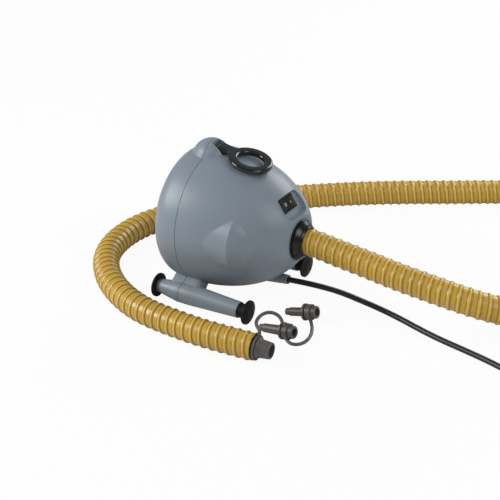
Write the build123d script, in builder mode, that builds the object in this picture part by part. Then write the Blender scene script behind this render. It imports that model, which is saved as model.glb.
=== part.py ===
from build123d import *
import os
from math import atan2, cos, pi, radians, sin, sqrt, tan

os.makedirs("parts", exist_ok=True)

# An electric inflator: an egg-shaped casing in two moulded shells, carried on two foot bars.
# +X runs along the air axis to the outlet, +Y to the left, +Z up. The origin is on the floor,
# below the middle of the casing with its two ports. All sizes are in millimetres.

# Casing
axis_height = 112.6          # air axis above the floor
outlet_height = 109.2        # outlet collar's axis above the floor
body_radius = 103.2          # widest part of the casing
crest_x = -50.5              # where it is widest
nose_length = 155.0          # from the widest part to the tip that the nose would reach
nose_face_x = 95.5           # flat end that the outlet collar sits on
tail_face_x = -105.5         # flat end that the inlet collar sits on
wall = 3.0
seam_x = -52.9               # joint between the rear and front shells
seam_bevel = 0.9
lip_length = 5.0
lip_thickness = 1.8
shell_gap = 0.3              # between a lip or tongue and the wall that it slides inside
fit = 0.05                   # radial clearance of a piece seated in another
run_fit = 0.06               # radial clearance of a shaft or pin that turns

# Hump and its slot for the carrying ring
hump_radius = 28.5
hump_x, hump_z = -55.0, 203.5
slot_width = 19.0
slot_back_x = -48.3
pin_radius = 2.5
pin_x, pin_z = -41.5, 222.1
pin_length = 23.6

# Carrying ring
ring_x = 10.7                # centre of the ring when it lies on the casing
ring_outer, ring_inner = 32.4, 19.4
ring_tilt = 12.5
ring_lift = 1.0              # of the flat ring over the casing's slope at its middle
ring_height = 8.4
ring_rounding = 3.4
neck_width = 17.6
neck_height = 7.2
barrel_radius = 6.0

# Side pods
pod_radius, pod_offset, pod_height = 48.0, 51.0, 114.5
pod_ridge_x = 32.0
pod_front_length = 30.0
pod_ridge_rounding = 14.0
pod_blend, hump_blend = 6.0, 3.5

# Foot bars, legs and rubber feet
bar_y, bar_z = 83.9, 18.0
bar_radius = 15.8            # at the seam
bar_front_radius, bar_rear_radius = 12.0, 9.8
bar_front_x, bar_rear_x = 45.5, -95.0
leg_rear_x, leg_front_x = -75.5, -24.5
leg_rounding = 8.0
foot_radius, foot_thickness = 18.0, 6.5
foot_neck = 11.0             # bare neck between a front foot and its bar
stem_radius, stem_length = 7.0, 12.0

# Cable spout under the nose
spout_start_x, spout_end_x = 35.5, 77.0
spout_start_z, spout_end_z = 34.0, 38.0
spout_start_radius, spout_end_radius = 8.6, 7.0
spout_wall = 1.8
spout_run_in = 6.0           # how far its bore reaches back into the casing
cable_radius = 4.25

# Clamp that holds the cable inside the nose
clamp_x, clamp_z = 24.0, 37.7   # its place and the top of its two bosses
clamp_spread = 9.5
clamp_boss_radius = 3.6
clamp_screw_radius, clamp_screw_bite = 1.4, 8.0

# Switch in its pocket
switch_x, switch_z = 73.5, 161.0
switch_slope = 56.0          # of its face above the horizontal
bezel_long, bezel_short, bezel_rim = 33.0, 22.0, 2.0
switch_depth = 22.0
rocker_tilt = 9.0
pocket_side, pocket_below, pocket_above = 9.8, 8.2, 0.6     # its floor past the bezel's edges
pocket_depth = 22.0
pocket_flare, pocket_rise = 0.466, 0.18    # slope of its sides and lower wall, and of its upper wall
pocket_rounding = 9.0

# Outlet, inlet and the hose that plugs into either
collar_radius, collar_thickness = 30.4, 11.0
sleeve_radius, sleeve_bore, sleeve_length = 25.0, 22.0, 12.0
inlet_thickness = 4.0
hose_radius, hose_wall = 20.5, 2.0    # over its ribs
hose_end_radius, hose_end_wall = 18.8, 1.6    # where it is pushed into its cuff
cuff_rim_radius, cuff_rim_length, cuff_depth = 22.9, 3.0, 17.0
cuff_socket = 9.0            # how deep the hose goes into its cuff

# Motor and fan
motor_radius, motor_wall = 44.0, 1.5
motor_front_x = 28.0
fan_radius, fan_wall = 62.0, 1.2
fan_rear_x, fan_front_x = -86.0, -52.0
fan_eye = 20.0
shaft_radius = 4.0
bearing_radius, bearing_width = 11.0, 7.0
core_radius, core_rear_x, core_front_x = 23.4, -30.0, 5.0
air_gap = 0.6
stator_radius = 42.0
commutator_radius, commutator_rear_x, commutator_front_x = 11.0, 15.0, 27.0

air_axis = Axis((0, 0, axis_height), (1, 0, 0))
air_plane = Plane(origin=(0, 0, axis_height), x_dir=(1, 0, 0), z_dir=(0, -1, 0))


def across(x, y=0.0, z=axis_height):
    """A plane that faces along the air axis, with its own x along Y and its own y up."""
    return Plane(origin=(x, y, z), x_dir=(0, 1, 0), z_dir=(1, 0, 0))


def turn(outline, mode=Mode.ADD, y=0.0, z=axis_height):
    """Turn a closed outline of (x, radius) points about a line along X."""
    plane = Plane(origin=(0, y, z), x_dir=(1, 0, 0), z_dir=(0, -1, 0))
    with BuildSketch(plane) as profile:
        with BuildLine():
            Polyline(*outline, close=True)
        make_face()
    revolve(profile.sketch, axis=Axis((0, y, z), (1, 0, 0)), mode=mode)


def tube(x0, x1, outer, inner, mode=Mode.ADD, y=0.0, z=axis_height):
    """A plain ring or sleeve along X."""
    turn([(x0, inner), (x1, inner), (x1, outer), (x0, outer)], mode, y, z)


def rod(x0, x1, radius, mode=Mode.ADD, y=0.0, z=axis_height):
    """A plain round rod along X."""
    turn([(x0, 0), (x1, 0), (x1, radius), (x0, radius)], mode, y, z)


def save(piece, name):
    """Label a finished piece and write its file."""
    piece.label = name
    export_step(piece, "parts/" + name + ".step")


# ---------------------------------------------------------------- forms shared by the two shells

def egg(skin):
    """The casing without its hump, pods and legs, drawn in by skin on every side."""
    tail = crest_x - tail_face_x + 1.5
    tail_curve = [(0.34, 0.993), (0.62, 0.952), (0.845, 0.832), (0.955, 0.66)]
    depth, radius = tail - skin, body_radius - skin
    with BuildPart() as form:
        with BuildSketch(air_plane):
            with BuildLine():
                nose = EllipticalCenterArc((crest_x, 0), nose_length - skin, radius, arc_size=90)
                bend = Spline(
                    (crest_x, radius),
                    *[(crest_x - depth * back, radius * out) for back, out in tail_curve],
                    (crest_x - depth, radius * 0.36),
                    tangents=[(-1, 0), (0, -1)],
                )
                Line(bend @ 1, (crest_x - depth, 0))
                Line((crest_x - depth, 0), nose @ 0)
            make_face()
        revolve(axis=air_axis)
        low = tail_face_x + max(skin, 0)
        high = nose_face_x - max(skin, 0)
        reach = 2 * (body_radius - skin) + 20
        with BuildSketch(across(low)):
            with Locations((0, 0)):
                Rectangle(reach, reach)
        extrude(amount=high - low, mode=Mode.INTERSECT)
    return form.part


def pods(skin):
    """The two rounded pods that stand out of the casing's sides."""
    with BuildPart() as form:
        for side in (-1, 1):
            radius = pod_radius - skin
            plane = Plane(origin=(0, side * pod_offset, pod_height), x_dir=(1, 0, 0), z_dir=(0, -1, 0))
            front_x = pod_ridge_x + pod_front_length - skin
            with BuildSketch(plane) as profile:
                with BuildLine():
                    Line((seam_x + 20, 0), (seam_x + 20, radius))
                    Line((seam_x + 20, radius), (pod_ridge_x, radius))
                    ThreePointArc(
                        (pod_ridge_x, radius),
                        (pod_ridge_x + 0.58 * pod_front_length, 0.72 * radius),
                        (front_x - 1.5, 0.42 * radius),
                    )
                    Line((front_x - 1.5, 0.42 * radius), (front_x, 0))
                    Line((front_x, 0), (seam_x + 20, 0))
                make_face()
                ridge = profile.vertices().sort_by_distance(Vector(pod_ridge_x, side * pod_offset, pod_height + radius))[0]
                fillet(ridge, pod_ridge_rounding - skin)
            revolve(profile.sketch, axis=Axis((0, side * pod_offset, pod_height), (1, 0, 0)))
    return form.part


def bars(skin):
    """The two tapered foot bars, or with a skin the hollow inside them."""
    end = 14.0 if skin else 0.0
    with BuildPart() as form:
        for side in (-1, 1):
            turn(
                [
                    (bar_rear_x + end, 0),
                    (bar_front_x - end, 0),
                    (bar_front_x - end, bar_front_radius - skin),
                    (seam_x + 12, bar_radius - skin),
                    (seam_x - 6, bar_radius - skin),
                    (bar_rear_x + end, bar_rear_radius - skin),
                ],
                y=side * bar_y,
                z=bar_z,
            )
    return form.part


def legs():
    """The two broad legs that join the casing to its foot bars."""
    section = [(47, 52), (74.5, 40.5), (91.5, 28.5), (94, 20), (76, 8.5), (70.5, 11.5), (55, 25.5), (40, 30)]
    with BuildPart() as form:
        for side in (-1, 1):
            with BuildSketch(Plane(origin=(leg_rear_x, 0, 0), x_dir=(0, 1, 0), z_dir=(1, 0, 0))):
                with BuildLine():
                    Polyline(*[(side * y, z) for y, z in section], close=True)
                make_face()
            extrude(amount=leg_front_x - leg_rear_x)
        fillet(form.edges().filter_by(Axis.X, reverse=True).filter_by(GeomType.LINE), leg_rounding)
    return form.part


def hump():
    """The round hump on top, before its slot is cut."""
    with BuildPart() as form:
        with Locations((hump_x, 0, hump_z)):
            Sphere(hump_radius)
    return form.part


def spout(skin):
    """The tapered stub that the mains cable leaves by, or its bore."""
    rise = (spout_end_z - spout_start_z) / (spout_end_x - spout_start_x)
    line = Vector(1, 0, rise).normalized()
    start = Vector(spout_start_x, 0, spout_start_z) - line * (spout_run_in if skin else 0)
    length = (Vector(spout_end_x, 0, spout_end_z) - start).length
    with BuildPart() as form:
        with BuildSketch(Plane(origin=start, x_dir=(0, 1, 0), z_dir=line)):
            Circle(spout_start_radius - skin)
        with BuildSketch(Plane(origin=start + line * length, x_dir=(0, 1, 0), z_dir=line)):
            Circle(spout_end_radius - skin)
        loft()
    return form.part


switch_normal = Vector(sin(radians(switch_slope)), 0, cos(radians(switch_slope)))
switch_up = Vector(-cos(radians(switch_slope)), 0, sin(radians(switch_slope)))


def switch_plane(height):
    """A plane along the switch's face, height above the pocket's floor, with its own x along Y."""
    origin = Vector(switch_x, 0, switch_z) + switch_normal * height
    return Plane(origin=origin, x_dir=(0, 1, 0), z_dir=switch_normal)


def pocket(skin):
    """The flared pocket that the switch sits in, or with a skin the tub behind it."""
    with BuildPart() as form:
        for height in (0, pocket_depth):
            side = pocket_side + pocket_flare * height + skin
            below = pocket_below + pocket_flare * height + skin
            above = pocket_above + pocket_rise * height + skin
            with BuildSketch(switch_plane(height - skin)):
                with Locations((0, (above - below) / 2)):
                    RectangleRounded(bezel_long + 2 * side, bezel_short + below + above,
                                     pocket_rounding + pocket_flare * height / 2)
        loft()
    return form.part


outer_form = egg(0)
cavity_form = egg(wall)
pod_form = pods(0)
pod_cavity = pods(wall)
bar_form = bars(0)
bar_cavity = bars(wall)
leg_form = legs()
hump_form = hump()
spout_form = spout(0)
spout_bore = spout(spout_wall)

# ------------------------------------------------------------------------------- shells

screw_angles = [45, 135, 225, 315]
screw_circle = 86.0
screw_radius, screw_head_radius, screw_head_height = 2.0, 4.0, 3.0
screw_seat_x, screw_tip_x = -70.0, -36.0
boss_radius = 5.5
carrier_angles = [90, 210, 330]
carrier_circle = 66.0
carrier_x, carrier_thickness = 33.0, 6.0

with BuildPart() as whole:
    add(outer_form)
    add(pod_form)
    fillet(whole.edges(Select.NEW), pod_blend)
    add(hump_form)
    fillet(whole.edges(Select.NEW), hump_blend)
    add(leg_form)
    add(bar_form)
    add(spout_form)

with BuildPart() as hollow:
    add(cavity_form)
    add(pod_cavity)
    add(whole.part, mode=Mode.INTERSECT)

with BuildPart() as slot:
    # The ring's slot, open to the front, down to the casing under the hump.
    with Locations(((slot_back_x + 25), 0, hump_z)):
        Box(50, slot_width, 4 * hump_radius)
    add(outer_form, mode=Mode.SUBTRACT)

with BuildPart() as pin_channel:
    # The pin drops in from the seam and lies across both cheeks of the slot.
    with BuildSketch(Plane(origin=(0, 0, pin_z), x_dir=(1, 0, 0), z_dir=(0, -1, 0))) as channel:
        with Locations((pin_x, 0)):
            Circle(pin_radius + fit)
        with Locations(((seam_x + pin_x) / 2 - 1, 0)):
            Rectangle(pin_x - seam_x + 2, 2 * (pin_radius + fit))
    extrude(channel.sketch, amount=pin_length / 2 + fit, both=True)


def bosses(x0, x1, radius, angles, circle):
    """Round columns along X, set about the air axis."""
    with BuildPart() as form:
        with BuildSketch(across(x0)) as sections:
            for angle in angles:
                y, z = circle * cos(radians(angle)), circle * sin(radians(angle))
                with Locations((y, z)):
                    Circle(radius)
        extrude(sections.sketch, amount=x1 - x0)
    return form.part


def boss_webs(x0, x1):
    """Ribs that tie the screw columns to the casing's wall."""
    with BuildPart() as form:
        for angle in screw_angles:
            with BuildSketch(across(x0)) as section:
                with BuildLine():
                    turned = radians(angle)
                    out = Vector(cos(turned), sin(turned))
                    side = Vector(-sin(turned), cos(turned)) * 1.25
                    near, far = out * screw_circle, out * (body_radius + 2)
                    Polyline(near - side, far - side, far + side, near + side, close=True)
                make_face()
            extrude(section.sketch, amount=x1 - x0)
    return form.part


rear_columns = bosses(tail_face_x, seam_x, boss_radius, screw_angles, screw_circle)
front_columns = bosses(seam_x, screw_tip_x + 4, boss_radius, screw_angles, screw_circle)
carrier_columns = bosses(carrier_x + carrier_thickness, nose_face_x, 5.0, carrier_angles, carrier_circle)
pin_tongue_x = pin_x - pin_radius - shell_gap
fan_mount_radius = fan_radius + 10.0
fan_rib_front_x = -57.0

with BuildPart() as seam_wall:
    with BuildSketch(across(seam_x - wall)):
        with Locations((0, hump_z - axis_height)):
            Circle(hump_radius + 1)
    extrude(amount=wall)
    add(hump_form, mode=Mode.INTERSECT)
    add(cavity_form, mode=Mode.SUBTRACT)

with BuildPart() as slotted:
    add(whole.part)
    add(slot.part, mode=Mode.SUBTRACT)

with BuildPart() as rear_shell:
    add(whole.part)
    add(hollow.part, mode=Mode.SUBTRACT)
    add(bar_cavity, mode=Mode.SUBTRACT)
    with Locations((hump_x, 0, hump_z)):
        Sphere(hump_radius - wall, mode=Mode.SUBTRACT)
    add(rear_columns)
    add(boss_webs(tail_face_x, seam_x))
    # The rib round the fan, whose rubber mount seats inside it.
    tube(tail_face_x + wall / 2, fan_rib_front_x, fan_mount_radius + 2.5, fan_mount_radius)
    add(whole.part, mode=Mode.INTERSECT)
    with BuildSketch(across(seam_x)) as ahead:
        Rectangle(4 * body_radius, 4 * body_radius)
    extrude(ahead.sketch, amount=200, mode=Mode.SUBTRACT)
    # Hump cavity closed again towards the seam, then the lip that enters the front shell.
    add(seam_wall.part)
    tube(seam_x - 4, seam_x + lip_length, body_radius - wall - shell_gap,
         body_radius - wall - shell_gap - lip_thickness)
    tube(seam_x - 4, seam_x - 0.5, body_radius - wall + 0.6, body_radius - wall - shell_gap - lip_thickness)
    # Tongue that keeps the ring's pin in its channel, clear of the ring's barrel.
    with Locations(((seam_x - 1 + slot_back_x) / 2, 0, pin_z)):
        Box(slot_back_x - seam_x + 1, pin_length - 1, 2 * (pin_radius - shell_gap))
    for side in (-1, 1):
        mid_y = (slot_width / 2 + shell_gap + pin_length / 2 - 0.5) / 2
        with Locations(((slot_back_x + pin_tongue_x) / 2, side * mid_y, pin_z)):
            Box(pin_tongue_x - slot_back_x, pin_length / 2 - 0.5 - slot_width / 2 - shell_gap,
                2 * (pin_radius - shell_gap))
    # Screw holes with their counterbores, inlet opening and the feet's sockets.
    add(bosses(-140, screw_seat_x, screw_head_radius + 0.4, screw_angles, screw_circle), mode=Mode.SUBTRACT)
    add(bosses(-140, 0, screw_radius + 0.3, screw_angles, screw_circle), mode=Mode.SUBTRACT)
    rod(-140, tail_face_x + 20, sleeve_radius + fit, Mode.SUBTRACT)
    for side in (-1, 1):
        rod(bar_rear_x - 1, bar_rear_x + stem_length + 1, stem_radius + fit, Mode.SUBTRACT,
            y=side * bar_y, z=bar_z)

with BuildPart() as front_shell:
    add(slotted.part)
    add(hollow.part, mode=Mode.SUBTRACT)
    add(front_columns)
    add(boss_webs(seam_x + lip_length + 1, screw_tip_x + 4))
    add(carrier_columns)
    for side in (-1, 1):
        with Locations((clamp_x, side * clamp_spread, clamp_z / 2)):
            Cylinder(clamp_boss_radius, clamp_z)
    add(pocket(wall))
    add(slotted.part, mode=Mode.INTERSECT)
    add(bar_cavity, mode=Mode.SUBTRACT)
    with BuildSketch(across(seam_x)) as behind:
        Rectangle(4 * body_radius, 4 * body_radius)
    extrude(behind.sketch, amount=-200, mode=Mode.SUBTRACT)
    add(pocket(0), mode=Mode.SUBTRACT)
    with BuildSketch(switch_plane(1)) as switch_hole:
        Rectangle(bezel_long - 3, bezel_short - 3)
    extrude(switch_hole.sketch, amount=-40, mode=Mode.SUBTRACT)
    add(pin_channel.part, mode=Mode.SUBTRACT)
    tube(seam_x - 1, seam_x + lip_length + 0.5, body_radius - wall,
         body_radius - wall - shell_gap - lip_thickness - 4, Mode.SUBTRACT)
    add(bosses(seam_x - 1, screw_tip_x + 2, screw_radius + fit, screw_angles, screw_circle), mode=Mode.SUBTRACT)
    add(bosses(carrier_x, carrier_x + carrier_thickness + 12, 1.5 + fit, carrier_angles, carrier_circle),
        mode=Mode.SUBTRACT)
    rod(nose_face_x - 20, nose_face_x + 1, sleeve_radius + fit, Mode.SUBTRACT, z=outlet_height)
    add(spout_bore, mode=Mode.SUBTRACT)
    for side in (-1, 1):
        with Locations((clamp_x, side * clamp_spread, clamp_z - clamp_screw_bite / 2)):
            Cylinder(clamp_screw_radius, clamp_screw_bite + 2, mode=Mode.SUBTRACT)
    for side in (-1, 1):
        rod(bar_front_x - stem_length - 1, bar_front_x + 1, stem_radius + fit, Mode.SUBTRACT,
            y=side * bar_y, z=bar_z)
    # A small bevel round its rim shows as the seam line.
    seam_face = front_shell.faces().filter_by_position(Axis.X, seam_x - fit, seam_x + fit).sort_by(SortBy.AREA)[-1]
    chamfer(seam_face.outer_wire().edges(), seam_bevel)

save(rear_shell.part, "rear_shell")
save(front_shell.part, "front_shell")

# ------------------------------------------------------------------------ carrying ring

ring_top_z = axis_height + body_radius * sqrt(1 - ((ring_x - crest_x) / nose_length) ** 2) + ring_lift
tilt = radians(ring_tilt)
ring_normal = Vector(sin(tilt), 0, cos(tilt))
ring_plane = Plane(origin=(ring_x, 0, ring_top_z), x_dir=(cos(tilt), 0, -sin(tilt)), z_dir=ring_normal)
ring_side_plane = Plane(origin=ring_plane.origin, x_dir=ring_plane.x_dir, z_dir=(0, -1, 0))
neck_reach = (ring_x - pin_x) / cos(tilt)
neck_base = (ring_height - neck_height) / 2

with BuildPart() as ring_handle:
    # A flat neck runs from the barrel to the ring and widens into it.
    with BuildSketch(ring_plane.offset(neck_base)) as plan:
        Circle(ring_outer - 1.5)
        with Locations((-neck_reach / 2, 0)):
            Rectangle(neck_reach, neck_width)
        fillet(plan.vertices().group_by(Axis.X)[1], 9)
        Circle(ring_inner + ring_rounding, mode=Mode.SUBTRACT)
    extrude(plan.sketch, amount=neck_height)
    rim = ring_handle.edges().filter_by(lambda edge: abs(edge.center().Y) > 0.1 or edge.center().X > 0)
    fillet(rim.filter_by_position(Axis.X, pin_x + 7, 100), 1.6)
    with BuildSketch(Plane.XZ) as barrel:
        with Locations((pin_x, pin_z)):
            Circle(barrel_radius)
    extrude(barrel.sketch, amount=neck_width / 2, both=True)
    # The ring itself has a full round section.
    with BuildSketch(ring_side_plane) as section:
        with Locations(((ring_outer + ring_inner) / 2, ring_height / 2)):
            RectangleRounded(ring_outer - ring_inner, ring_height, ring_rounding)
    revolve(section.sketch, axis=Axis(ring_plane.origin, ring_normal))
    with BuildSketch(Plane.XZ) as pin_bore:
        with Locations((pin_x, pin_z)):
            Circle(pin_radius + run_fit)
    extrude(pin_bore.sketch, amount=neck_width, both=True, mode=Mode.SUBTRACT)

with BuildPart() as ring_pin:
    with BuildSketch(Plane.XZ) as section:
        with Locations((pin_x, pin_z)):
            Circle(pin_radius)
    extrude(section.sketch, amount=pin_length / 2, both=True)

save(ring_handle.part, "ring_handle")
save(ring_pin.part, "ring_pin")

# -------------------------------------------------------------------- feet and fastenings

foot_start = bar_front_x + foot_neck + 0.9
with BuildPart() as front_feet:
    for side in (-1, 1):
        turn(
            [
                (bar_front_x - stem_length, 0),
                (bar_front_x - stem_length, stem_radius),
                (bar_front_x, stem_radius),
                (bar_front_x, bar_front_radius - 0.8),
                (foot_start, bar_front_radius - 2.2),
                (foot_start, foot_radius - 1.8),
                (foot_start + 0.8, foot_radius),
                (foot_start + 3.0, foot_radius),
                (foot_start + 4.4, foot_radius - 4.5),
                (foot_start + foot_thickness, foot_radius - 11),
                (foot_start + foot_thickness, 0),
            ],
            y=side * bar_y,
            z=bar_z,
        )

with BuildPart() as rear_feet:
    for side in (-1, 1):
        turn(
            [
                (bar_rear_x + stem_length, 0),
                (bar_rear_x + stem_length, stem_radius),
                (bar_rear_x, stem_radius),
                (bar_rear_x, foot_radius - 1.8),
                (bar_rear_x - 0.8, foot_radius),
                (bar_rear_x - 3.0, foot_radius),
                (bar_rear_x - 4.4, foot_radius - 4.5),
                (bar_rear_x - foot_thickness, foot_radius - 11),
                (bar_rear_x - foot_thickness, 0),
            ],
            y=side * bar_y,
            z=bar_z,
        )

with BuildPart() as shell_screws:
    add(bosses(screw_seat_x, screw_tip_x, screw_radius, screw_angles, screw_circle))
    add(bosses(screw_seat_x - screw_head_height, screw_seat_x, screw_head_radius, screw_angles, screw_circle))
    add(bosses(screw_seat_x - screw_head_height - 1, screw_seat_x - screw_head_height + 1.6, 1.5,
               screw_angles, screw_circle), mode=Mode.SUBTRACT)

save(front_feet.part, "front_feet")
save(rear_feet.part, "rear_feet")
save(shell_screws.part, "shell_screws")

# --------------------------------------------------------------------------- outlet and inlet

sleeve_back_x = nose_face_x - sleeve_length
collar_front_x = nose_face_x + collar_thickness
with BuildPart() as outlet_collar:
    turn(
        [
            (sleeve_back_x, sleeve_bore),
            (collar_front_x, sleeve_bore),
            (collar_front_x, cuff_rim_radius + 0.4),
            (collar_front_x - 1.4, cuff_rim_radius + 2.0),
            (nose_face_x + 6.0, collar_radius - 2.2),
            (nose_face_x + 4.6, collar_radius - 0.7),
            (nose_face_x + 4.2, collar_radius - 1.5),
            (nose_face_x + 3.6, collar_radius - 1.5),
            (nose_face_x + 3.2, collar_radius - 0.3),
            (nose_face_x + 2.4, collar_radius),
            (nose_face_x, collar_radius),
            (nose_face_x, sleeve_radius),
            (sleeve_back_x, sleeve_radius),
        ],
        z=outlet_height,
    )

cuff_front_x = collar_front_x + cuff_rim_length
cuff_back_x = collar_front_x - cuff_depth
socket_x = cuff_front_x - cuff_socket
with BuildPart() as hose_cuff:
    turn(
        [
            (cuff_back_x, hose_end_radius - hose_end_wall),
            (socket_x, hose_end_radius - hose_end_wall),
            (socket_x, hose_end_radius + fit),
            (cuff_front_x, hose_end_radius + fit),
            (cuff_front_x, cuff_rim_radius - 1.6),
            (cuff_front_x - 1.6, cuff_rim_radius),
            (collar_front_x, cuff_rim_radius),
            (collar_front_x, sleeve_bore - 2 * fit),
            (cuff_back_x, sleeve_bore - 2 * fit),
        ],
        z=outlet_height,
    )

inlet_rear_x = tail_face_x - inlet_thickness
inlet_front_x = tail_face_x + sleeve_length
grille_thickness = 2.0
with BuildPart() as inlet_collar:
    turn(
        [
            (inlet_rear_x, sleeve_bore),
            (inlet_front_x, sleeve_bore),
            (inlet_front_x, sleeve_radius),
            (tail_face_x, sleeve_radius),
            (tail_face_x, collar_radius),
            (inlet_rear_x + 1.5, collar_radius),
            (inlet_rear_x, collar_radius - 1.5),
        ]
    )

grille_x = inlet_front_x + 1.0    # rear face of its slotted plate
grille_front_x = grille_x + grille_thickness
with BuildPart() as inlet_grille:
    # A cap over the sleeve's inner end, with a step that the sleeve stops against.
    turn(
        [
            (grille_x, 0),
            (grille_x, sleeve_bore + 1.0),
            (inlet_front_x, sleeve_bore + 1.0),
            (inlet_front_x, sleeve_radius + fit),
            (inlet_front_x - 4, sleeve_radius + fit),
            (inlet_front_x - 4, sleeve_radius + 1.6),
            (grille_front_x, sleeve_radius + 1.6),
            (grille_front_x, 0),
        ]
    )
    with BuildSketch(across(grille_x - 1)) as slots:
        for row in (-14, -7, 0, 7, 14):
            half = sqrt((sleeve_bore - 3) ** 2 - row ** 2)
            with Locations((0, row)):
                SlotOverall(2 * half, 4)
    extrude(slots.sketch, amount=grille_thickness + 2, mode=Mode.SUBTRACT)

filter_radius = 30.0
with BuildPart() as inlet_filter:
    rod(grille_front_x, fan_rear_x, filter_radius)

save(outlet_collar.part, "outlet_collar")
save(hose_cuff.part, "hose_cuff")
save(inlet_collar.part, "inlet_collar")
save(inlet_grille.part, "inlet_grille")
save(inlet_filter.part, "inlet_filter")

# ------------------------------------------------------------------------------ fan

fan_flange_radius = fan_radius + 4.0
fan_mount_lip = 4.0
bracket_thickness = 3.0
with BuildPart() as fan_can:
    turn(
        [
            (fan_rear_x, fan_eye),
            (fan_rear_x, fan_radius),
            (fan_front_x - fan_wall, fan_radius),
            (fan_front_x - fan_wall, fan_flange_radius),
            (fan_front_x, fan_flange_radius),
            (fan_front_x, fan_radius - fan_wall),
            (fan_rear_x + fan_wall, fan_radius - fan_wall),
            (fan_rear_x + fan_wall, fan_eye),
        ]
    )

with BuildPart() as fan_mount:
    turn(
        [
            (fan_rear_x + 12, fan_radius + fit),
            (fan_front_x - fan_wall, fan_radius + fit),
            (fan_front_x - fan_wall, fan_mount_radius + fan_mount_lip),
            (fan_rib_front_x, fan_mount_radius + fan_mount_lip),
            (fan_rib_front_x, fan_mount_radius - fit),
            (fan_rear_x + 12, fan_mount_radius - fit),
        ]
    )

impeller_radius = 57.0
impeller_back_x, impeller_eye_x, impeller_rim_x = -64.5, -83.4, -74.0
blade_count, blade_thickness = 7, 1.4
hub_radius, hub_rear_x = 10.0, -80.0
with BuildPart() as impeller:
    with BuildSketch(across(impeller_back_x)) as blades:
        for number in range(blade_count):
            turned = 2 * pi * number / blade_count
            points = [
                (radius * cos(turned + sweep), radius * sin(turned + sweep))
                for radius, sweep in ((hub_radius - 1, 0), (32, 0.45), (impeller_radius - 0.5, 1.0))
            ]
            with BuildLine():
                ThreePointArc(*points)
            trace(line_width=blade_thickness)
    extrude(blades.sketch, amount=impeller_eye_x - impeller_back_x)
    turn(
        [
            (impeller_back_x - 0.7, 0),
            (impeller_back_x - 0.7, impeller_radius - 0.4),
            (impeller_rim_x + 0.6, impeller_radius - 0.4),
            (impeller_eye_x + 0.6, fan_eye - 1),
            (impeller_eye_x + 4, 0),
        ],
        Mode.INTERSECT,
    )
    turn(
        [
            (impeller_back_x, 0),
            (impeller_back_x, impeller_radius),
            (impeller_back_x - 1.5, impeller_radius),
            (impeller_back_x - 1.5, hub_radius),
            (hub_rear_x, hub_radius),
            (hub_rear_x, 0),
        ]
    )
    turn(
        [
            (impeller_rim_x, impeller_radius),
            (impeller_eye_x, fan_eye - 1),
            (impeller_eye_x + 1.2, fan_eye - 1),
            (impeller_rim_x + 1.2, impeller_radius),
        ]
    )
    rod(hub_rear_x - 4, impeller_back_x + 1, shaft_radius, Mode.SUBTRACT)

with BuildPart() as impeller_nut:
    with BuildSketch(across(hub_rear_x - 3)):
        RegularPolygon(6.4, 6)
        Circle(shaft_radius, mode=Mode.SUBTRACT)
    extrude(amount=3)

diffuser_rear_x, diffuser_front_x = impeller_back_x + 2.0, -56.0
vane_count = 9
with BuildPart() as diffuser:
    with BuildSketch(across(diffuser_rear_x)) as vanes:
        for number in range(vane_count):
            turned = 2 * pi * number / vane_count
            points = [
                (radius * cos(turned - sweep), radius * sin(turned - sweep))
                for radius, sweep in ((24, 0), (42, 0.3), (fan_radius - fan_wall - fit - 0.3, 0.75))
            ]
            with BuildLine():
                ThreePointArc(*points)
            trace(line_width=1.6)
    extrude(vanes.sketch, amount=diffuser_front_x - diffuser_rear_x)
    rod(diffuser_rear_x - 1, diffuser_front_x + 1, fan_radius - fan_wall - fit, Mode.INTERSECT)
    tube(diffuser_rear_x, diffuser_rear_x + 1.6, impeller_radius - 1, shaft_radius + 3)
    tube(diffuser_rear_x, fan_front_x, 26, 21)

save(fan_can.part, "fan_can")
save(fan_mount.part, "fan_mount")
save(impeller.part, "impeller")
save(impeller_nut.part, "impeller_nut")
save(diffuser.part, "diffuser")

# ---------------------------------------------------------------------------- motor

hub_wall = 3.5
bracket_front_x = fan_front_x + bracket_thickness
rear_bearing_x = fan_front_x + 2.0
with BuildPart() as motor_bracket:
    turn(
        [
            (fan_front_x, shaft_radius + 3),
            (fan_front_x, fan_flange_radius),
            (bracket_front_x, fan_flange_radius),
            (bracket_front_x, bearing_radius + hub_wall),
            (rear_bearing_x + bearing_width, bearing_radius + hub_wall),
            (rear_bearing_x + bearing_width, bearing_radius + fit),
            (rear_bearing_x, bearing_radius + fit),
            (rear_bearing_x, shaft_radius + 3),
        ]
    )
    with BuildSketch(across(fan_front_x - 1)) as windows:
        with PolarLocations((motor_radius + fan_radius) / 2, 12):
            Circle(5.5)
        with PolarLocations((bearing_radius + motor_radius) / 2 + 2, 6):
            Circle(6)
    extrude(windows.sketch, amount=bracket_thickness + 2, mode=Mode.SUBTRACT)

brush_x = (commutator_rear_x + commutator_front_x) / 2
brush_long, brush_short = 8.0, 5.0
holder_wall = 1.2
holder_inner, holder_outer = 12.5, 46.5
with BuildPart() as motor_can:
    tube(bracket_front_x, motor_front_x, motor_radius, motor_radius - motor_wall)
    with Locations((brush_x, 0, axis_height)):
        Box(
            brush_long + 2 * (holder_wall + fit),
            3 * motor_radius,
            brush_short + 2 * (holder_wall + fit),
            mode=Mode.SUBTRACT,
        )

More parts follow.
